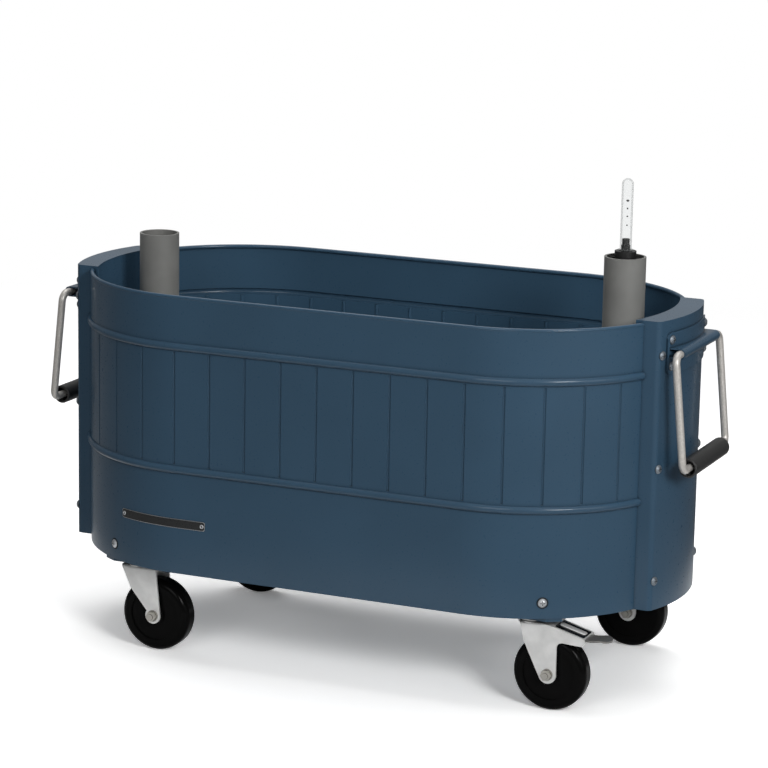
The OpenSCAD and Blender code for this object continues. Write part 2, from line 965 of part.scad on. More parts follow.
module brake_leg_outline() {
    translate([trail, axle_z])
        circle(r = leg_end);
    polygon([
        [-9, fork_top],
        [14, fork_top],
        [28, fork_top - 1.8],
        housing_end,
        housing_end + [1.8, -4.1],
        housing_foot,
        [trail + leg_end * 0.985, fork_top - 17.5],
        [trail + leg_end * 0.985, axle_z + 1],
        [trail, axle_z],
        [trail - leg_end * 0.93, axle_z - leg_end * 0.37],
        [-3, fork_top - 22]
    ]);
    // Rounded web in the corner between the leg and the housing
    difference() {
        translate([trail + leg_end * 0.9, fork_top - 23.5])
            square([6.5, 7]);
        translate([trail + leg_end * 0.985 + 6, fork_top - 24])
            circle(r = 6);
    }
}

// Fork pressed from one plate: crown, bends and two legs
module fork_body() {
    bend = fork_sheet + 1;
    length = 4 * trail + fork_half;
    straight = fork_half - bend;
    translate([-1.5 * fork_half, 0, 0]) {
        translate([0, -straight, crown_z])
            cube([length, 2 * straight, fork_top - crown_z]);
        for (side = [0, 1])
            mirror([0, side, 0]) {
                translate([0, fork_half - fork_sheet, 0])
                    cube([length, fork_sheet, fork_top - bend]);
                translate([0, straight, fork_top - bend])
                    rotate([90, 0, 90])
                        rotate_extrude(angle = 90)
                            translate([bend - fork_sheet, 0])
                                square([fork_sheet, length]);
            }
    }
}

module fork_bores() {
    translate([0, 0, crown_z - overcut])
        cylinder(r = stem_radius + running_fit, h = fork_top - crown_z + 2 * overcut);
    translate([trail, fork_half + overcut, axle_z])
        rotate([90, 0, 0])
            cylinder(r = axle_radius + seat_gap, h = 2 * (fork_half + overcut));
}

module side_extrude(half) {
    translate([0, half, 0])
        rotate([90, 0, 0])
            linear_extrude(2 * half)
                children();
}

module plain_fork() {
    difference() {
        union() {
            intersection() {
                fork_body();
                side_extrude(fork_half + overcut)
                    plain_leg_outline();
            }
            cylinder_between(crown_z, fork_top, race_radius);
        }
        fork_bores();
    }
}

// Fork with a brake housing: longer side plates closed by a sloping cover
module brake_fork() {
    cover = 1.5;
    fall = atan2(housing_end[1] - fork_top + 1.8, housing_end[0] - 28);
    cover_length = norm(housing_end - [28, fork_top - 1.8]);
    difference() {
        union() {
            intersection() {
                fork_body();
                side_extrude(fork_half + overcut)
                    brake_leg_outline();
                translate([-2 * fork_half, -2 * fork_half, 0])
                    cube([28 + 2 * fork_half, 4 * fork_half, fork_top]);
            }
            intersection() {
                for (side = [-1, 1])
                    translate([26, side * (fork_half - fork_sheet / 2) - fork_sheet / 2, 0])
                        cube([60, fork_sheet, fork_top]);
                side_extrude(fork_half + overcut)
                    brake_leg_outline();
            }
            translate([28, 0, fork_top - 1.8])
                rotate([0, -fall, 0])
                    translate([0, -fork_half + fork_sheet / 2, -cover])
                        cube([cover_length, 2 * fork_half - fork_sheet, cover]);
            cylinder_between(crown_z, fork_top, race_radius);
        }
        fork_bores();
        translate([brake_pin_x, fork_half + overcut, brake_pin_z])
            rotate([90, 0, 0])
                cylinder(r = brake_pin_radius + hole_clearance / 2, h = 2 * (fork_half + overcut));
    }
}

// Axle bolt with its flanged head at the back and its flanged nut at the front
module axle_bolt() {
    flange = 1.2;
    nut = 4.5;
    translate([trail, 0, axle_z])
        rotate([90, 0, 0]) {
            translate([0, 0, -fork_half])
                cylinder(r = axle_radius, h = 2 * fork_half + flange + nut + 1.2);
            for (side = [0, 1])
                mirror([0, 0, side])
                    translate([0, 0, fork_half]) {
                        cylinder(r = axle_radius + 3.2, h = flange);
                        translate([0, 0, flange])
                            cylinder(r = axle_radius + 2.6, h = nut, $fn = 6);
                    }
        }
}

module wheel_bush() {
    translate([trail, 0, axle_z])
        rotate([90, 0, 0])
            difference() {
                cylinder(r = bush_radius, h = 2 * hub_half, center = true);
                cylinder(r = axle_radius + running_fit, h = fork_gap, center = true);
            }
}

// Half section of the wheel: tread with round shoulders, dished web and hub
module wheel_section() {
    half = wheel_width / 2;
    rim_inner = wheel_radius - 12;
    face_inset = 2;
    translate([bush_radius + 0.05, -hub_half])
        square([hub_radius - bush_radius, 2 * hub_half]);
    translate([hub_radius - 1, -half + face_inset])
        square([rim_inner - hub_radius + 3, wheel_width - 2 * face_inset]);
    translate([rim_inner, -half])
        square([wheel_radius - shoulder - rim_inner, wheel_width]);
    translate([rim_inner, -half + shoulder])
        square([wheel_radius - rim_inner, wheel_width - 2 * shoulder]);
    for (side = [-1, 1])
        translate([wheel_radius - shoulder, side * (half - shoulder)])
            intersection() {
                circle(r = shoulder);
                translate([0, side > 0 ? 0 : -shoulder])
                    square(shoulder);
            }
}

module wheel() {
    translate([trail, 0, axle_z])
        rotate([90, 0, 0])
            rotate_extrude()
                wheel_section();
}

module brake_pin() {
    translate([brake_pin_x, 0, brake_pin_z])
        rotate([90, 0, 0]) {
            cylinder(r = brake_pin_radius, h = 2 * fork_half + 1, center = true);
            for (side = [-1, 1])
                translate([0, 0, side * (fork_half + 0.5)])
                    cylinder(r = brake_pin_radius + 0.9, h = 1, center = true);
        }
}

// Brake lever: hub on the pin, shoe over the wheel and a pedal that reaches out of the housing
module brake_pedal() {
    half = pedal_width / 2;
    hub = 3;
    tip_z = brake_pin_z - 4.4;
    tip_radius = 1.2 * half;
    difference() {
        union() {
            side_extrude(half) {
                translate([brake_pin_x, brake_pin_z])
                    circle(r = hub);
                polygon([
                    [brake_pin_x - 0.5, brake_pin_z + hub * 0.95],
                    [housing_end[0] - 6, tip_z + 1.2],
                    [housing_end[0] + 6, tip_z + 1.2],
                    [pedal_reach - 9, tip_z + 2.6],
                    [pedal_reach, tip_z + 1.4],
                    [pedal_reach, tip_z - 0.6],
                    [pedal_reach - 9, tip_z + 0.6],
                    [housing_end[0] + 6, tip_z - 1],
                    [housing_end[0] - 6, tip_z - 1],
                    [brake_pin_x + 7, brake_pin_z - hub * 1.6],
                    [brake_pin_x - 0.5, brake_pin_z - hub * 0.95]
                ]);
            }
            side_extrude(half - 2)
                polygon([
                    [brake_pin_x, brake_pin_z],
                    [brake_pin_x + 12, brake_pin_z - 4.5],
                    [brake_pin_x + 9, brake_pin_z - 14],
                    [brake_pin_x + 2, brake_pin_z - 12]
                ]);
        }
        // Rounds the tip of the blade
        difference() {
            translate([pedal_reach - tip_radius, -2 * half, tip_z - tip_radius])
                cube([2 * tip_radius, 4 * half, 2 * tip_radius]);
            translate([pedal_reach - tip_radius, 0, tip_z - tip_radius - overcut])
                cylinder(r = tip_radius, h = 2 * (tip_radius + overcut));
        }
        translate([trail, half + overcut, axle_z])
            rotate([90, 0, 0])
                cylinder(r = wheel_radius + shoe_gap, h = pedal_width + 2 * overcut);
        translate([brake_pin_x, half + overcut, brake_pin_z])
            rotate([90, 0, 0])
                cylinder(r = brake_pin_radius + running_fit, h = pedal_width + 2 * overcut);
    }
}

module front_left_mount() { color(zinc) at_corner(-1, -1) caster_mount(); }
module front_left_fork() { color(zinc) at_corner(-1, -1) plain_fork(); }
module front_left_axle() { color(zinc) at_corner(-1, -1) axle_bolt(); }
module front_left_bush() { color(grey_plastic) at_corner(-1, -1) wheel_bush(); }
module front_left_wheel() { color(black_plastic) at_corner(-1, -1) wheel(); }
module front_right_mount() { color(zinc) at_corner(1, -1) caster_mount(); }
module front_right_fork() { color(zinc) at_corner(1, -1) brake_fork(); }
module front_right_axle() { color(zinc) at_corner(1, -1) axle_bolt(); }
module front_right_bush() { color(grey_plastic) at_corner(1, -1) wheel_bush(); }
module front_right_wheel() { color(black_plastic) at_corner(1, -1) wheel(); }
module front_right_brake_pin() { color(zinc) at_corner(1, -1) brake_pin(); }
module front_right_brake_pedal() { color(zinc) at_corner(1, -1) brake_pedal(); }
module back_left_mount() { color(zinc) at_corner(-1, 1) caster_mount(); }
module back_left_fork() { color(zinc) at_corner(-1, 1) plain_fork(); }
module back_left_axle() { color(zinc) at_corner(-1, 1) axle_bolt(); }
module back_left_bush() { color(grey_plastic) at_corner(-1, 1) wheel_bush(); }
module back_left_wheel() { color(black_plastic) at_corner(-1, 1) wheel(); }
module back_right_mount() { color(zinc) at_corner(1, 1) caster_mount(); }
module back_right_fork() { color(zinc) at_corner(1, 1) brake_fork(); }
module back_right_axle() { color(zinc) at_corner(1, 1) axle_bolt(); }
module back_right_bush() { color(grey_plastic) at_corner(1, 1) wheel_bush(); }
module back_right_wheel() { color(black_plastic) at_corner(1, 1) wheel(); }
module back_right_brake_pin() { color(zinc) at_corner(1, 1) brake_pin(); }
module back_right_brake_pedal() { color(zinc) at_corner(1, 1) brake_pedal(); }

// ---------------------------------------------------------------- watering insert

module reservoir_tray() {
    foot_radius = 9;
    color(dark_plastic)
        difference() {
            union() {
                translate([0, 0, tray_z])
                    linear_extrude(tray_height)
                        tub_plan(tray_inset);
                translate([0, 0, tray_top - tray_wall])
                    linear_extrude(tray_wall)
                        tub_plan(tray_inset - tray_rim);
                for (x = [-end_centre, 0, end_centre])
                    for (y = [-tub_radius / 2, tub_radius / 2])
                        translate([x, y, floor_top])
                            cylinder(r = foot_radius, h = tray_feet + overcut);
            }
            translate([0, 0, tray_floor])
                linear_extrude(tray_height)
                    tub_plan(tray_inset + tray_wall);
            translate([0, 0, tray_z - overcut])
                cylinder(r = drain_radius + seat_gap, h = tray_wall + 2 * overcut);
        }
}

// Plug that closes the tray's drain, pushed up through the floor
module drain_plug() {
    color(dark_plastic) {
        cylinder_between(floor_z - 3, tray_floor + 2, drain_radius);
        cylinder_between(floor_z - 3, floor_z, drain_radius + 5);
    }
}

// Perforated platform that carries the soil, with openings for the tubes and the wicking cups
module soil_platform() {
    columns = floor((end_x - tray_inset - 2 * tube_radius) / platform_hole_pitch);
    rows = floor((tub_radius - tray_inset) / platform_hole_pitch);
    color(dark_plastic)
        translate([0, 0, tray_top])
            difference() {
                linear_extrude(platform_thickness)
                    tub_plan(sheet + platform_gap);
                for (i = [-1, 0, 1])
                    translate([i * cup_pitch, 0, -overcut])
                        cylinder(r = cup_radius + seat_gap, h = platform_thickness + 2 * overcut);
                for (i = [-1, 0, 1])
                    translate([i * cup_pitch, 0, platform_thickness - cup_lip_thickness])
                        cylinder(r = cup_radius + cup_lip + seat_gap, h = platform_thickness);
                for (side = [-1, 1])
                    translate([side * tube_x, 0, -overcut])
                        cylinder(r = tube_radius + seat_gap, h = platform_thickness + 2 * overcut);
                for (i = [-columns : columns])
                    for (j = [-rows : rows])
                        if (abs(j) > 1)
                            translate([i * platform_hole_pitch, j * platform_hole_pitch, -overcut])
                                cylinder(r = platform_hole_radius, h = platform_thickness + 2 * overcut);
            }
}

// Cups that hang in the platform and carry damp soil down into the water
module wicking_cups() {
    foot_z = tray_floor + cup_foot_height;
    depth = platform_top - foot_z;
    foot_radius = 0.8 * cup_radius;
    slot = 2 * cup_wall;
    color(dark_plastic)
        for (i = [-1, 0, 1])
            translate([i * cup_pitch, 0, foot_z])
                difference() {
                    union() {
                        cylinder(r1 = foot_radius, r2 = cup_radius, h = depth);
                        translate([0, 0, depth - cup_lip_thickness])
                            cylinder(r = cup_radius + cup_lip, h = cup_lip_thickness);
                    }
                    translate([0, 0, cup_wall])
                        cylinder(r1 = foot_radius - cup_wall, r2 = cup_radius - cup_wall, h = depth);
                    for (turn = [0 : 60 : 120])
                        rotate([0, 0, turn])
                            translate([-2 * cup_radius, -slot / 2, 3 * cup_wall])
                                cube([4 * cup_radius, slot, depth / 3]);
                }
}

// Upright tube standing on the tray's floor, with water slots at its foot
module upright_tube(top) {
    difference() {
        cylinder_between(tray_floor, top, tube_radius);
        cylinder_between(tray_floor - overcut, top + overcut, tube_bore);
        for (turn = [45, 135])
            rotate([0, 0, turn])
                translate([-2 * tube_radius, -4, tray_floor - overcut])
                    cube([4 * tube_radius, 8, 14 + overcut]);
    }
}

module filling_tube() {
    color(grey_plastic)
        translate([-tube_x, 0, 0])
            upright_tube(rim_z + fill_tube_rise);
}

module gauge_tube() {
    color(grey_plastic)
        translate([tube_x, 0, 0])
            upright_tube(gauge_tube_top);
}

// Socket with four vanes that hold it in the mouth of the gauge tube
module gauge_socket() {
    vane_height = 16;
    nipple = 6;
    color(black_plastic)
        translate([tube_x, 0, 0])
            difference() {
                union() {
                    cylinder_between(socket_z, sight_z, socket_radius);
                    cylinder_between(socket_z - vane_height, socket_z, sight_radius);
                    cylinder_between(sight_z, sight_z + nipple, sight_bore - seat_gap);
                    for (turn = [0, 90])
                        rotate([0, 0, turn])
                            translate([-tube_bore + seat_gap, -1, socket_z - vane_height])
                                cube([2 * (tube_bore - seat_gap), 2, vane_height + 2]);
                }
                cylinder_between(socket_z - vane_height - overcut, sight_z + nipple + overcut,
                                 float_rod_radius + running_fit);
            }
}

// Clear tube with a round closed top and a small foot
module sight_tube() {
    straight_top = sight_z + sight_height - sight_radius;
    color(clear_plastic)
        translate([tube_x, 0, 0])
            difference() {
                union() {
                    cylinder_between(sight_z, straight_top, sight_radius);
                    cylinder_between(sight_z, sight_z + 1.6, sight_radius + 2);
                    translate([0, 0, straight_top])
                        sphere(r = sight_radius);
                }
                cylinder_between(sight_z - overcut, straight_top, sight_bore);
                translate([0, 0, straight_top])
                    sphere(r = sight_bore);
            }
}

// Float with its rod and the pointer that shows in the sight tube
module water_float() {
    float_z = tray_floor + 0.3;
    pointer_z = sight_z + 6.5;
    color(black_plastic)
        translate([tube_x, 0, 0]) {
            cylinder_between(float_z, float_z + float_height, float_radius);
            cylinder_between(float_z + float_height - 1, pointer_z + 1, float_rod_radius);
            cylinder_between(pointer_z, pointer_z + 6, sight_bore - 1);
        }
}

// ---------------------------------------------------------------- assembly

front_shell();
back_shell();
left_end_panel();
right_end_panel();
left_inner_wall();
right_inner_wall();
floor_pan();
left_cross_rail();
right_cross_rail();
left_handle_bracket();
right_handle_bracket();
shell_screws();
post_screws();
bracket_screws();
left_bail();
right_bail();
left_grip();
right_grip();
reservoir_tray();
soil_platform();
wicking_cups();
drain_plug();
filling_tube();
gauge_tube();
gauge_socket();
sight_tube();
water_float();
caster_nuts();
front_left_mount();
front_left_fork();
front_left_axle();
front_left_bush();
front_left_wheel();
front_right_mount();
front_right_fork();
front_right_axle();
front_right_bush();
front_right_wheel();
front_right_brake_pin();
front_right_brake_pedal();
back_left_mount();
back_left_fork();
back_left_axle();
back_left_bush();
back_left_wheel();
back_right_mount();
back_right_fork();
back_right_axle();
back_right_bush();
back_right_wheel();
back_right_brake_pin();
back_right_brake_pedal();
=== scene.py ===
"""Looks of the rolling planter: finishes with painted shade in hollows, nameplate, gauge marks, rings of
painted shade round the shell screws, painted shade and lever ribs on the brake housings, and a studio.

Everything is in the part's own frame, in metres: origin on the floor under the middle of the tub,
+X along its length, the front shell towards -Y, +Z up.
"""

import json
import math

import bpy
from mathutils import Matrix, Vector


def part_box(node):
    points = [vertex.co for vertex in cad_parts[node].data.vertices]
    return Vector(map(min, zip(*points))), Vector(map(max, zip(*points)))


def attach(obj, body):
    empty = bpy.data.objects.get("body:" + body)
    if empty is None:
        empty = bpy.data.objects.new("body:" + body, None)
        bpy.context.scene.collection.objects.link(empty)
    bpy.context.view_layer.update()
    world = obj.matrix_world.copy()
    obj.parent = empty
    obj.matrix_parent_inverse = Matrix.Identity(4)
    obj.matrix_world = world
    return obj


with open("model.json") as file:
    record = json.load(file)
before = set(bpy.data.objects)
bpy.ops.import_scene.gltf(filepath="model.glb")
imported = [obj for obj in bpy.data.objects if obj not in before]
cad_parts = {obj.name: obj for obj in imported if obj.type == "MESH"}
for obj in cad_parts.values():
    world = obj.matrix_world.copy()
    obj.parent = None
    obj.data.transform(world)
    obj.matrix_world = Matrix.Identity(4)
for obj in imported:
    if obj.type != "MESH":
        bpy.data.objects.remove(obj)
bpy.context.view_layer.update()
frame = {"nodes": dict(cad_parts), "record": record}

MM = 0.001
# The tub's wall: half the length of its straight part, the radius of its round ends, and its foot
HALF_STRAIGHT = 165 * MM
TUB_RADIUS = 169.5 * MM
SHELL_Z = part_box("front_shell")[0][2]
CASTERS = ("front_left", "front_right", "back_left", "back_right")
BRAKED_CASTERS = ("front_right", "back_right")
TURNED_STEPS = 40


# ---------------------------------------------------------------- node helpers

class Nodes:
    """A node tree with short calls to add nodes and link them."""

    def __init__(self, tree):
        self.tree = tree

    def add(self, kind, **inputs):
        """A new node with its inputs set; an underscore stands for a space in an input's name."""
        node = self.tree.nodes.new(kind)
        for key, value in inputs.items():
            node.inputs[key.replace("_", " ")].default_value = value
        return node

    def link(self, source, target):
        self.tree.links.new(source, target)

    def remap(self, value, low, high, start=0.3, end=0.7, curve="LINEAR"):
        """The value with the stretch from start to end laid over low to high, and held beyond it."""
        node = self.add("ShaderNodeMapRange", From_Min=start, From_Max=end, To_Min=low, To_Max=high)
        node.interpolation_type = curve
        self.link(value, node.inputs["Value"])
        return node.outputs["Result"]

    def calculate(self, operation, first, second):
        node = self.add("ShaderNodeMath")
        node.operation = operation
        self.link(first, node.inputs[0])
        self.link(second, node.inputs[1])
        return node.outputs["Value"]

    def mix_shaders(self, factor, first, second):
        """The first shader where the factor is 0 and the second where it is 1."""
        node = self.add("ShaderNodeMixShader")
        self.link(factor, node.inputs["Fac"])
        self.link(first, node.inputs[1])
        self.link(second, node.inputs[2])
        return node.outputs["Shader"]


class Material(Nodes):
    """A new material with its principled shader and its output."""

    def __init__(self, name):
        self.material = bpy.data.materials.new(name)
        self.material.use_nodes = True
        super().__init__(self.material.node_tree)
        self.shader = self.tree.nodes["Principled BSDF"]
        self.output = self.tree.nodes["Material Output"]

    def set(self, **values):
        """Sets the shader's inputs of these names."""
        for key, value in values.items():
            self.shader.inputs[key.replace("_", " ")].default_value = value

    def feed(self, **sources):
        """Links these sources to the shader's inputs of these names."""
        for key, source in sources.items():
            self.link(source, self.shader.inputs[key.replace("_", " ")])

    def noise(self, scale, detail, roughness=0.5, stretch=None):
        """Noise in the object's own coordinates, scaled per metre."""
        place = self.add("ShaderNodeTexCoord").outputs["Object"]
        if stretch:
            mapping = self.add("ShaderNodeMapping", Scale=stretch)
            self.link(place, mapping.inputs["Vector"])
            place = mapping.outputs["Vector"]
        node = self.add("ShaderNodeTexNoise", Scale=scale, Detail=detail, Roughness=roughness)
        self.link(place, node.inputs["Vector"])
        return node.outputs["Fac"]

    def ramp(self, value, dark, light, start=0.35, end=0.65):
        """Colours from dark, where the value is at start, to light, where it is at end."""
        node = self.add("ShaderNodeValToRGB")
        first, last = node.color_ramp.elements
        first.position = start
        first.color = (*dark, 1)
        last.position = end
        last.color = (*light, 1)
        self.link(value, node.inputs["Fac"])
        return node.outputs["Color"]

    def paint_shade_in_hollows(self, colour, reach, factor, start, end):
        """Painted shade: the colour, times factor in hollows and creases, which see little open space
        within reach.

        They are darkest where the open share is below start, and end where it is above end.
        """
        space = self.add("ShaderNodeAmbientOcclusion", Distance=reach)
        space.samples = 8
        shadow = self.ramp(space.outputs["AO"], grey(factor), grey(1), start, end)
        mix = self.add("ShaderNodeMix")
        mix.data_type = "RGBA"
        mix.blend_type = "MULTIPLY"
        mix.inputs["Factor"].default_value = 1.0
        self.link(colour, mix.inputs["A"])
        self.link(shadow, mix.inputs["B"])
        return mix.outputs["Result"]

    def bump(self, height, strength, distance):
        node = self.add("ShaderNodeBump", Strength=strength, Distance=distance)
        self.link(height, node.inputs["Height"])
        self.feed(Normal=node.outputs["Normal"])


def grey(value):
    return (value, value, value)


def shade(colour, factor):
    return tuple(channel * factor for channel in colour)


# ---------------------------------------------------------------- finishes

def powder_paint(name, colour):
    """Smooth powder coat: faint mottling, painted shade in its creases, orange peel and a thin clear
    top.
    """
    paint = Material(name)
    tone = paint.ramp(paint.noise(scale=9, detail=3), shade(colour, 0.96), shade(colour, 1.04))
    # Painted shade: darker in creases and hollows within 4 mm, as beside the beads and at the posts'
    # seams.
    tone = paint.paint_shade_in_hollows(tone, reach=4 * MM, factor=0.45, start=0.5, end=0.95)
    rough = paint.remap(paint.noise(scale=420, detail=2), low=0.27, high=0.33)
    paint.feed(Base_Color=tone, Roughness=rough)
    paint.bump(paint.noise(scale=650, detail=1), strength=0.06, distance=0.2 * MM)
    paint.set(Coat_Weight=0.3, Coat_Roughness=0.14, Specular_IOR_Level=0.22, IOR=1.42)
    return paint.material


def plated(name, colour, roughness, metal=1.0, cloud=60, stretch=None, shade_reach=0, shadow=(0.45, 0.8)):
    """Plated metal: cloudy tone and fine grain, with painted shade in recesses as wide as the given
    reach.

    The shadow gives the open shares between which a recess goes from dark to light.
    """
    plate = Material(name)
    tone = plate.ramp(plate.noise(scale=cloud, detail=3), shade(colour, 0.86), colour)
    # Painted shade in recesses within the given reach.
    if shade_reach:
        tone = plate.paint_shade_in_hollows(tone, shade_reach, factor=0.035, start=shadow[0], end=shadow[1])
    grain = plate.noise(scale=900, detail=2, roughness=0.6, stretch=stretch)
    rough = plate.remap(grain, low=roughness - 0.05, high=roughness + 0.07)
    plate.feed(Base_Color=tone, Roughness=rough)
    plate.bump(grain, strength=0.08, distance=0.1 * MM)
    plate.set(Metallic=metal)
    return plate.material


def plastic(name, colour, roughness, gloss=0.5, ior=1.5, shade_reach=0):
    """Moulded plastic: faint mottling and a fine grain, with painted shade in hollows as wide as the
    given reach.
    """
    moulding = Material(name)
    tone = moulding.ramp(moulding.noise(scale=35, detail=2), shade(colour, 0.93), shade(colour, 1.05))
    # Painted shade in hollows within the given reach.
    if shade_reach:
        tone = moulding.paint_shade_in_hollows(tone, shade_reach, factor=0.25, start=0.35, end=0.95)
    grain = moulding.noise(scale=1200, detail=2)
    rough = moulding.remap(grain, low=roughness - 0.04, high=roughness + 0.05)
    moulding.feed(Base_Color=tone, Roughness=rough)
    moulding.bump(grain, strength=0.1, distance=0.1 * MM)
    moulding.set(Specular_IOR_Level=gloss, IOR=ior)
    return moulding.material


def clear_plastic(name):
    """Clear acrylic: see-through where it faces the viewer, grey at its edges."""
    acrylic = Material(name)
    acrylic.set(Base_Color=(0.52, 0.54, 0.54, 1))
    rough = acrylic.remap(acrylic.noise(scale=300, detail=1), low=0.05, high=0.10)
    acrylic.feed(Roughness=rough)
    clear = acrylic.add("ShaderNodeBsdfTransparent", Color=(0.98, 0.983, 0.983, 1))
    facing = acrylic.add("ShaderNodeLayerWeight", Blend=0.35).outputs["Facing"]
    edge = acrylic.remap(facing, low=0.03, high=0.85, start=0.3, end=0.95)
    mixed = acrylic.mix_shaders(edge, clear.outputs["BSDF"], acrylic.shader.outputs["BSDF"])
    acrylic.link(mixed, acrylic.output.inputs["Surface"])
    return acrylic.material


# Painted shade: the zinc darkens where little space is open within 14 mm, as on the forks' tops under
# the tub and inside their legs.
zinc = plated("bright_zinc", (0.82, 0.82, 0.81), 0.36, metal=0.42, shade_reach=14 * MM, shadow=(0.1, 0.5))
# Painted shade: a dark copy of the zinc for the brake pedals, which sit in shade.
pedal_zinc_painted_shade = plated("pedal_zinc_painted_shade", (0.24, 0.235, 0.225), 0.36, metal=0.6)
wire = plated("zinc_wire", (0.64, 0.615, 0.58), 0.42, metal=0.4, cloud=450, stretch=(1, 1, 0.05))
# Painted shade: the screws and axles darken in their recesses.
screw_zinc = plated("screw_zinc", (0.56, 0.58, 0.60), 0.4, metal=0.7, shade_reach=1.2 * MM)
screw_dull = plated("screw_dull", (0.22, 0.25, 0.28), 0.52, metal=0.7, shade_reach=1.2 * MM)
axle_zinc = plated("axle_zinc", (0.50, 0.48, 0.44), 0.4, metal=0.65, shade_reach=2 * MM)
# Painted shade: near-black glossy steel for the shaded inside of the brake housings' channels.
channel_painted_shade = plated("channel_painted_shade", (0.07, 0.075, 0.08), 0.2)
plate_metal = plated("plate_edge", (0.55, 0.56, 0.57), 0.3)
plate_dark = plastic("plate_face", (0.014, 0.015, 0.016), 0.3)
mark_black = plastic("mark_black", grey(0.10), 0.5)
# Painted shade: black for the dark rings round the shell screws, where their dimples lie in shade.
dimple_painted_shade = plastic("dimple_painted_shade", (0.008, 0.012, 0.016), 0.5, gloss=0.2)

FINISHES = {
    "blue_paint": powder_paint("blue_paint", (0.037, 0.081, 0.132)),
    "bright_zinc": zinc,
    "grip_black": plastic("grip_black", grey(0.022), 0.55),
    "dark_plastic": plastic("insert_black", (0.02, 0.02, 0.022), 0.5),
    # Painted shade: the tubes darken inside, where little space is open.
    "tube_grey": plastic("tube_grey", (0.20, 0.20, 0.19), 0.5, shade_reach=30 * MM),
    "gauge_black": plastic("gauge_black", grey(0.012), 0.35),
    "clear_plastic": clear_plastic("clear_plastic"),
    "bush_grey": plastic("bush_grey", grey(0.10), 0.4),
    "wheel_black": plastic("wheel_black", grey(0.0035), 0.18, gloss=0.3, ior=1.16),
}
OWN_FINISH = {
    "left_bail": wire,
    "right_bail": wire,
    "shell_screws": screw_zinc,
    "post_screws": screw_dull,
    "bracket_screws": screw_dull,
}
for caster in CASTERS:
    OWN_FINISH[f"{caster}_axle"] = axle_zinc
for caster in BRAKED_CASTERS:
    OWN_FINISH[f"{caster}_brake_pedal"] = pedal_zinc_painted_shade


def shade_smooth(mesh):
    for polygon in mesh.polygons:
        polygon.use_smooth = True


for entry in frame["record"]["subparts"]:
    part = frame["nodes"][entry["node"]]
    part.data.materials.clear()
    part.data.materials.append(OWN_FINISH.get(entry["node"], FINISHES[entry["material_slot"]]))
    shade_smooth(part.data)


# ---------------------------------------------------------------- mesh helpers

def mesh_object(name, vertices, faces, material, body):
    """A piece with its finish and slot, riding on a body of the part."""
    mesh = bpy.data.meshes.new(name)
    mesh.from_pydata([tuple(v) for v in vertices], [], faces)
    mesh.validate()
    mesh.update()
    piece = bpy.data.objects.new(name, mesh)
    bpy.context.scene.collection.objects.link(piece)
    mesh.materials.append(material)
    shade_smooth(mesh)
    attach(piece, body)
    return piece


def soften(piece, width):
    """Small round edges, as wide as width."""
    bevel = piece.modifiers.new("edges", "BEVEL")
    bevel.width = width
    bevel.segments = 2
    bevel.limit_method = "ANGLE"
    bevel.angle_limit = math.radians(40)
    bevel.harden_normals = True


def front_wall(s, out=0.0):
    """Point on the front shell's wall at distance s along it from the middle, moved out by out."""
    past = max(abs(s) - HALF_STRAIGHT, 0) / TUB_RADIUS
    side = -1 if s < 0 else 1
    reach = TUB_RADIUS + out
    x = side * (min(abs(s), HALF_STRAIGHT) + reach * math.sin(past))
    return Vector((x, -reach * math.cos(past), 0))


def strip_faces(steps):
    """Faces of a closed strip whose stations each have inner low, inner high, outer low, outer high."""
    faces = []
    for i in range(steps):
        a = 4 * i
        b = a + 4
        faces += [(a + 2, b + 2, b + 3, a + 3), (a + 1, b + 1, b, a)]
        faces += [(a, b, b + 2, a + 2), (a + 3, b + 3, b + 1, a + 1)]
    last = 4 * steps
    return faces + [(0, 2, 3, 1), (last + 1, last + 3, last + 2, last)]


def ring_faces(rings, count):
    """Faces between neighbouring rings of count vertices each."""
    faces = []
    for low in range(0, (rings - 1) * count, count):
        high = low + count
        for k in range(count):
            n = (k + 1) % count
            faces.append((low + k, low + n, high + n, high + k))
    return faces


def turned(name, profile, origin, axis, material):
    """A turned ring on the tub: profile is (radius, height) pairs in mm along axis from origin."""
    turn = Vector((0, 0, 1)).rotation_difference(axis).to_matrix()
    vertices = []
    for radius, height in profile:
        for k in range(TURNED_STEPS):
            angle = 2 * math.pi * k / TURNED_STEPS
            point = Vector((radius * MM * math.cos(angle), radius * MM * math.sin(angle), height * MM))
            vertices.append(turn @ point + origin)
    mesh_object(name, vertices, ring_faces(len(profile), TURNED_STEPS), material, "tub")


# ---------------------------------------------------------------- nameplate

# The plate's ends are distances along the wall from the shell's middle, its depths are off the wall
PLATE_START = -235.5 * MM
PLATE_END = -127.4 * MM
PLATE_LOW = SHELL_Z + 50.3 * MM
PLATE_HIGH = SHELL_Z + 60.2 * MM
PLATE_STEPS = 72
PLATE_EDGE = 0.15 * MM
BASE_CORNER = 1.2 * MM
BASE_DEPTHS = (0.02 * MM, 0.55 * MM)
FACE_CORNER = 1 * MM
FACE_DEPTHS = (0.5 * MM, 0.7 * MM)
FACE_INSET = 0.5 * MM
EYELET_INSET = 3.6 * MM
EYELET = ((2.3, 0), (2.2, 0.45), (1.6, 0.7), (1.0, 0.45), (0.8, 0))


def wall_plate(name, inset, corner, depths, material):
    """A plate with round corners that follows the wall between two depths, drawn in by inset."""
    start = PLATE_START + inset
    end = PLATE_END - inset
    vertices = []
    for i in range(PLATE_STEPS + 1):
        s = start + (end - start) * i / PLATE_STEPS
        from_end = min(s - start, end - s)
        drop = 0
        if from_end < corner:
            drop = corner - math.sqrt(max(corner**2 - (corner - from_end) ** 2, 0))
        for depth in depths:
            for z in (PLATE_LOW + inset + drop, PLATE_HIGH - inset - drop):
                point = front_wall(s, depth)
                point.z = z
                vertices.append(point)
    piece = mesh_object(name, vertices, strip_faces(PLATE_STEPS), material, "tub")
    soften(piece, PLATE_EDGE)


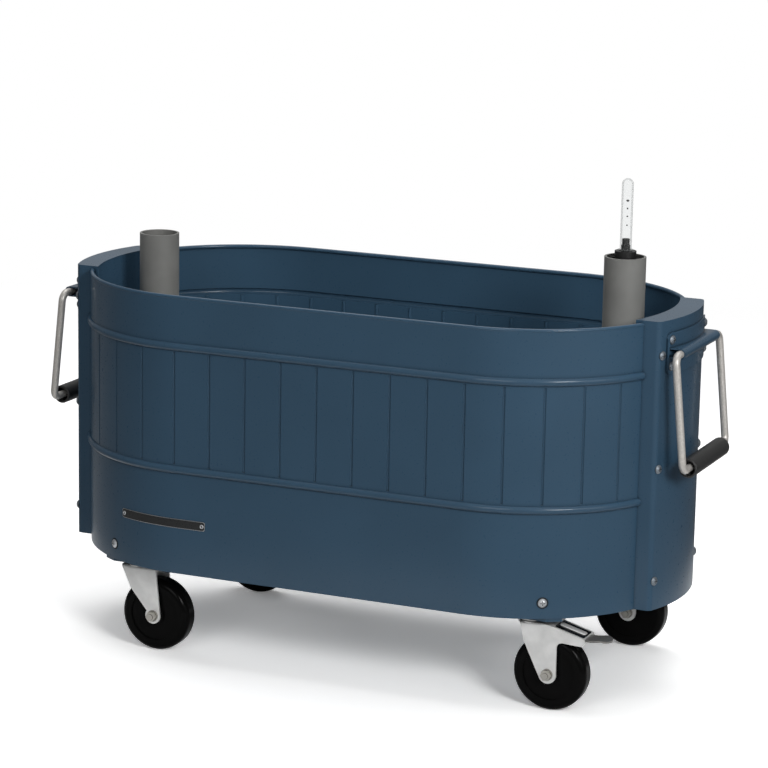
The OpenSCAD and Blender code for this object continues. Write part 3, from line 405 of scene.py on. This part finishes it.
def eyelet(name, s):
    """A rolled eyelet on the plate's face at distance s along the wall."""
    seat = front_wall(s, FACE_DEPTHS[1])
    seat.z = (PLATE_LOW + PLATE_HIGH) / 2
    outward = front_wall(s, 1.0) - front_wall(s)
    turned(name, EYELET, seat, outward, screw_zinc)


wall_plate("nameplate_base", 0, BASE_CORNER, BASE_DEPTHS, plate_metal)
wall_plate("nameplate_face", FACE_INSET, FACE_CORNER, FACE_DEPTHS, plate_dark)
eyelet("nameplate_rivet_left", PLATE_START + EYELET_INSET)
eyelet("nameplate_rivet_right", PLATE_END - EYELET_INSET)


# ---------------------------------------------------------------- gauge marks

TUBE_X = 272 * MM
MARK_RADII = (6.02 * MM, 6.1 * MM)
MARK_STEPS = 12
MARK_TIP = 0.1
MARKS_FACE = math.radians(-66)
# Height above the shell's foot, width round the tube and height of each mark, in mm
MARKS = ((413.6, 3.2, 2.4), (405.5, 1.8, 1.8), (397.3, 1.8, 1.6), (388.0, 1.6, 1.6))


def tube_mark(name, height, wide, tall):
    """An oval mark printed on the sight tube's front; its tips are cut off at a tenth of its height."""
    vertices = []
    for i in range(MARK_STEPS + 1):
        across = 2 * i / MARK_STEPS - 1
        angle = MARKS_FACE + across * wide / 2 / MARK_RADII[0]
        reach = tall / 2 * max(math.sqrt(1 - across**2), MARK_TIP)
        for radius in MARK_RADII:
            for z in (height - reach, height + reach):
                vertices.append((TUBE_X + radius * math.cos(angle), radius * math.sin(angle), z))
    mesh_object(name, vertices, strip_faces(MARK_STEPS), mark_black, "tub")


for number, (height, wide, tall) in enumerate(MARKS, 1):
    tube_mark(f"gauge_mark_{number}", SHELL_Z + height * MM, wide * MM, tall * MM)


# ---------------------------------------------------------------- rings of painted shade round the shell screws

SCREW_ANGLE = math.radians(29)
SCREW_HEIGHT = 17 * MM
# Profile of each ring of painted shade round a shell screw: radius and height in mm
DIMPLE_SHADE_RING = ((4.4, 0.02), (6.1, 0.02), (6.1, 0.2), (5.8, 0.5), (4.4, 0.5))

for end, x_side in (("left", -1), ("right", 1)):
    for face, y_side in (("front", -1), ("back", 1)):
        outward = Vector((x_side * math.sin(SCREW_ANGLE), y_side * math.cos(SCREW_ANGLE), 0))
        centre = Vector((x_side * HALF_STRAIGHT, 0, SHELL_Z + SCREW_HEIGHT)) + outward * TUB_RADIUS
        turned(f"{face}_{end}_shell_screw_shade", DIMPLE_SHADE_RING, centre, outward, dimple_painted_shade)


# ---------------------------------------------------------------- dark plates of painted shade and lever ribs on the brake housings

# The housing's top slopes down from COVER_START beyond the swivel's axis, at COVER_STEP under the
# fork's top, to FORK_FLARE short of the fork's end, at COVER_FALL under its top
COVER_START = 28 * MM
COVER_STEP = 1.8 * MM
COVER_FALL = 10.9 * MM
FORK_FLARE = 1.8 * MM
BAR_CORNER = 2.2 * MM
CORNER_STEPS = 4
# Each ring of a bar: its height and its size, as shares of the bar's
BAR_RINGS = ((0, 1.0), (0.6, 1.0), (1.0, 0.86))


def rounded_rectangle(half_length, half_width, corner):
    """Outline points of a rectangle about the origin, with round corners."""
    points = []
    for quarter, (u_side, v_side) in enumerate(((1, 1), (-1, 1), (-1, -1), (1, -1))):
        for step in range(CORNER_STEPS + 1):
            angle = math.pi / 2 * (quarter + step / CORNER_STEPS)
            u = u_side * (half_length - corner) + corner * math.cos(angle)
            v = v_side * (half_width - corner) + corner * math.sin(angle)
            points.append((u, v))
    return points


def sloped_bar(name, caster, margins, half_width, lift, height, material):
    """A low bar with round corners on the sloping top of a brake housing, lifted off it a little.

    It ends short of the slope's upper and lower end by the two margins.
    """
    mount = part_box(f"{caster}_mount")
    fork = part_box(f"{caster}_fork")
    axis_x = (mount[0][0] + mount[1][0]) / 2
    middle_y = (mount[0][1] + mount[1][1]) / 2
    start = Vector((axis_x + COVER_START, middle_y, fork[1][2] - COVER_STEP))
    end = Vector((fork[1][0] - FORK_FLARE, middle_y, fork[1][2] - COVER_FALL))
    slope = (end - start).normalized()
    normal = (Vector((0, 0, 1)) - slope * slope.z).normalized()
    side = normal.cross(slope)

    low = margins[0]
    high = (end - start).length - margins[1]
    half_length = (high - low) / 2
    outline = rounded_rectangle(half_length, half_width, BAR_CORNER)
    vertices = []
    for share, size in BAR_RINGS:
        stretch = 1 - half_width * (1 - size) / half_length
        for u, v in outline:
            along = low + half_length + u * stretch
            vertices.append(start + slope * along + side * v * size + normal * (lift + height * share))
    count = len(outline)
    bottom = tuple(reversed(range(count)))
    top = tuple(range(len(vertices) - count, len(vertices)))
    faces = [bottom, top] + ring_faces(len(BAR_RINGS), count)
    mesh_object(name, vertices, faces, material, f"{caster}_swivel")


# On each brake housing a dark plate paints the shade inside its open channel, and a zinc rib on it
# stands for the brake lever.
for caster in BRAKED_CASTERS:
    sloped_bar(
        f"{caster}_channel",
        caster,
        margins=(0.5 * MM, 1.2 * MM),
        half_width=12.6 * MM,
        lift=0.02 * MM,
        height=0.25 * MM,
        material=channel_painted_shade,
    )
    sloped_bar(
        f"{caster}_channel_rib",
        caster,
        margins=(3 * MM, 3 * MM),
        half_width=4.5 * MM,
        lift=0.28 * MM,
        height=1.1 * MM,
        material=zinc,
    )


# ---------------------------------------------------------------- studio

# Each light: place, point that it faces, width and height in metres, power in watts
AREA_LIGHTS = {
    "low_right": ((2.1, -1.75, 1.45), (0.2, 0, 0.25), (0.75, 0.75), 43),
    "side_right": ((2.6, -0.8, 1.0), (0.2, 0, 0.25), (0.8, 1.4), 6),
    "front": ((0.2, -3.4, 1.8), (0, 0, 0.25), (1.6, 1.6), 26),
    "top_back": ((-0.5, 1.3, 2.4), (0, 0, 0.2), (2.4, 1.2), 20.5),
    "top": ((0.0, 0.1, 2.3), (0, 0, 0.2), (2.2, 1.4), 15),
    "left_back": ((-3.0, 1.2, 0.6), (-0.2, 0, 0.3), (1.6, 1.6), 25),
}
# Lights that no glossy surface mirrors
UNMIRRORED_LIGHTS = ("left_back",)

# The floor for the camera: its brightness, its clouds, and where it turns to plain white
FLOOR_HALF = 30
FLOOR_SEEN = 1.7
FLOOR_CLOUDS = 0.995
FLOOR_GLOW = 0.15
GLOW_REACH = (1.1, 2.2)
# The floor for all else: dim, brighter in mirrors near the planter, and dimmed again behind it
FLOOR_BOUNCE = 0.28
FLOOR_MIRRORED = 1.1
MIRRORED_REACH = (0.54, 0.70)
DARK_BEHIND = (0.25, 0.6)
DARK_SHARE = 0.4

# The room's light, the same as glossy surfaces mirror it, and the pale backdrop on one side of it
ROOM_LIGHT = 0.18
MIRRORED_ROOM = 0.24
BACKDROP_LIGHT = 0.22
BACKDROP_WAY = (-0.35, 0.92, 0.16)
BACKDROP_EDGE = (0.80, 0.98)


def floor_material():
    """Pale floor: the camera sees its shadows near the planter, and plain white far from it.

    Near the planter glossy surfaces mirror it brighter than it lights them, so that the forks show the
    white surroundings.
    """
    floor = Material("studio_floor")
    ray = floor.add("ShaderNodeLightPath")
    glossy = ray.outputs["Is Glossy Ray"]
    place = floor.add("ShaderNodeTexCoord").outputs["Object"]
    length = floor.add("ShaderNodeVectorMath")
    length.operation = "LENGTH"
    floor.link(place, length.inputs[0])
    distance = length.outputs["Value"]
    depth = floor.add("ShaderNodeSeparateXYZ")
    floor.link(place, depth.inputs["Vector"])

    near = floor.calculate("MULTIPLY", floor.remap(distance, 1, 0, *MIRRORED_REACH), glossy)
    behind = floor.calculate("MULTIPLY", floor.remap(depth.outputs["Y"], 0, 1, *DARK_BEHIND), glossy)
    lit = floor.remap(near, FLOOR_BOUNCE, FLOOR_MIRRORED, 0, 1)
    dimmed = floor.calculate("MULTIPLY", lit, floor.remap(behind, 1, DARK_SHARE, 0, 1))
    bounce = floor.add("ShaderNodeBsdfDiffuse")
    floor.link(dimmed, bounce.inputs["Color"])

    seen = floor.add("ShaderNodeBsdfDiffuse")
    clouds = floor.noise(scale=2, detail=1)
    tint = floor.ramp(clouds, grey(FLOOR_CLOUDS * FLOOR_SEEN), grey(FLOOR_SEEN))
    floor.link(tint, seen.inputs["Color"])
    white = floor.add("ShaderNodeEmission", Color=(1, 1, 1, 1), Strength=1.0)
    glow = floor.remap(distance, FLOOR_GLOW, 1, *GLOW_REACH)
    fade = floor.mix_shaders(glow, seen.outputs["BSDF"], white.outputs["Emission"])
    mixed = floor.mix_shaders(ray.outputs["Is Camera Ray"], bounce.outputs["BSDF"], fade)
    floor.link(mixed, floor.output.inputs["Surface"])
    return floor.material


def studio_floor():
    mesh = bpy.data.meshes.new("studio_floor")
    corners = [(x * FLOOR_HALF, y * FLOOR_HALF, 0) for x, y in ((-1, -1), (1, -1), (1, 1), (-1, 1))]
    mesh.from_pydata(corners, [], [(0, 1, 2, 3)])
    floor = bpy.data.objects.new("studio_floor", mesh)
    bpy.context.scene.collection.objects.link(floor)
    mesh.materials.append(floor_material())


def area_light(name, place, target, size, power):
    data = bpy.data.lights.new(name, "AREA")
    data.shape = "RECTANGLE"
    data.size, data.size_y = size
    data.energy = power
    light = bpy.data.objects.new(name, data)
    bpy.context.scene.collection.objects.link(light)
    light.location = place
    light.rotation_euler = (Vector(target) - Vector(place)).to_track_quat("-Z", "Y").to_euler()
    light.visible_glossy = name not in UNMIRRORED_LIGHTS


def studio_world():
    """White for the camera, pale in mirrors and glass, and else a dim room with a pale backdrop."""
    world = bpy.data.worlds.new("studio")
    bpy.context.scene.world = world
    world.use_nodes = True
    nodes = Nodes(world.node_tree)
    nodes.tree.nodes.clear()
    place = nodes.add("ShaderNodeTexCoord")
    toward = nodes.add("ShaderNodeVectorMath")
    toward.operation = "DOT_PRODUCT"
    toward.inputs[1].default_value = BACKDROP_WAY
    nodes.link(place.outputs["Generated"], toward.inputs[0])

    def room_with_backdrop(strength):
        brightest = strength + BACKDROP_LIGHT
        lobe = nodes.remap(toward.outputs["Value"], strength, brightest, *BACKDROP_EDGE, "SMOOTHSTEP")
        background = nodes.add("ShaderNodeBackground")
        nodes.link(lobe, background.inputs["Strength"])
        return background.outputs["Background"]

    ray = nodes.add("ShaderNodeLightPath")
    shiny = nodes.calculate("MAXIMUM", ray.outputs["Is Glossy Ray"], ray.outputs["Is Transmission Ray"])
    unseen = nodes.mix_shaders(shiny, room_with_backdrop(ROOM_LIGHT), room_with_backdrop(MIRRORED_ROOM))
    white = nodes.add("ShaderNodeBackground", Color=(1, 1, 1, 1))
    mixed = nodes.mix_shaders(ray.outputs["Is Camera Ray"], unseen, white.outputs["Background"])
    output = nodes.add("ShaderNodeOutputWorld")
    nodes.link(mixed, output.inputs["Surface"])


studio_floor()
studio_world()
for label, (place, target, size, power) in AREA_LIGHTS.items():
    area_light(label, place, target, size, power)


# ---------------------------------------------------------------- camera

CAMERA_TURN = math.radians(23.59)
CAMERA_TILT = math.radians(12.35)
CAMERA_ROLL = math.radians(1.04)
CAMERA_TARGET = Vector((0.0022, 0, SHELL_Z + 0.191))
CAMERA_DISTANCE = 3.2587
LENS_MM = 141.31
SENSOR_MM = 36


def photo_camera():
    """Camera that looks down on the target from the front right, rolled a little."""
    reach = math.cos(CAMERA_TILT)
    back = Vector((math.sin(CAMERA_TURN) * reach, -math.cos(CAMERA_TURN) * reach, math.sin(CAMERA_TILT)))
    right = Vector((math.cos(CAMERA_TURN), math.sin(CAMERA_TURN), 0))
    up = back.cross(right)
    rolled_right = right * math.cos(CAMERA_ROLL) + up * math.sin(CAMERA_ROLL)
    rolled_up = up * math.cos(CAMERA_ROLL) - right * math.sin(CAMERA_ROLL)
    data = bpy.data.cameras.new("camera")
    data.lens = LENS_MM
    data.sensor_width = SENSOR_MM
    camera = bpy.data.objects.new("camera", data)
    bpy.context.scene.collection.objects.link(camera)
    place = CAMERA_TARGET + back * CAMERA_DISTANCE
    axes = Matrix((rolled_right, rolled_up, back)).transposed()
    camera.matrix_world = Matrix.Translation(place) @ axes.to_4x4()
    bpy.context.scene.camera = camera


photo_camera()
bpy.context.scene.view_settings.view_transform = "Standard"
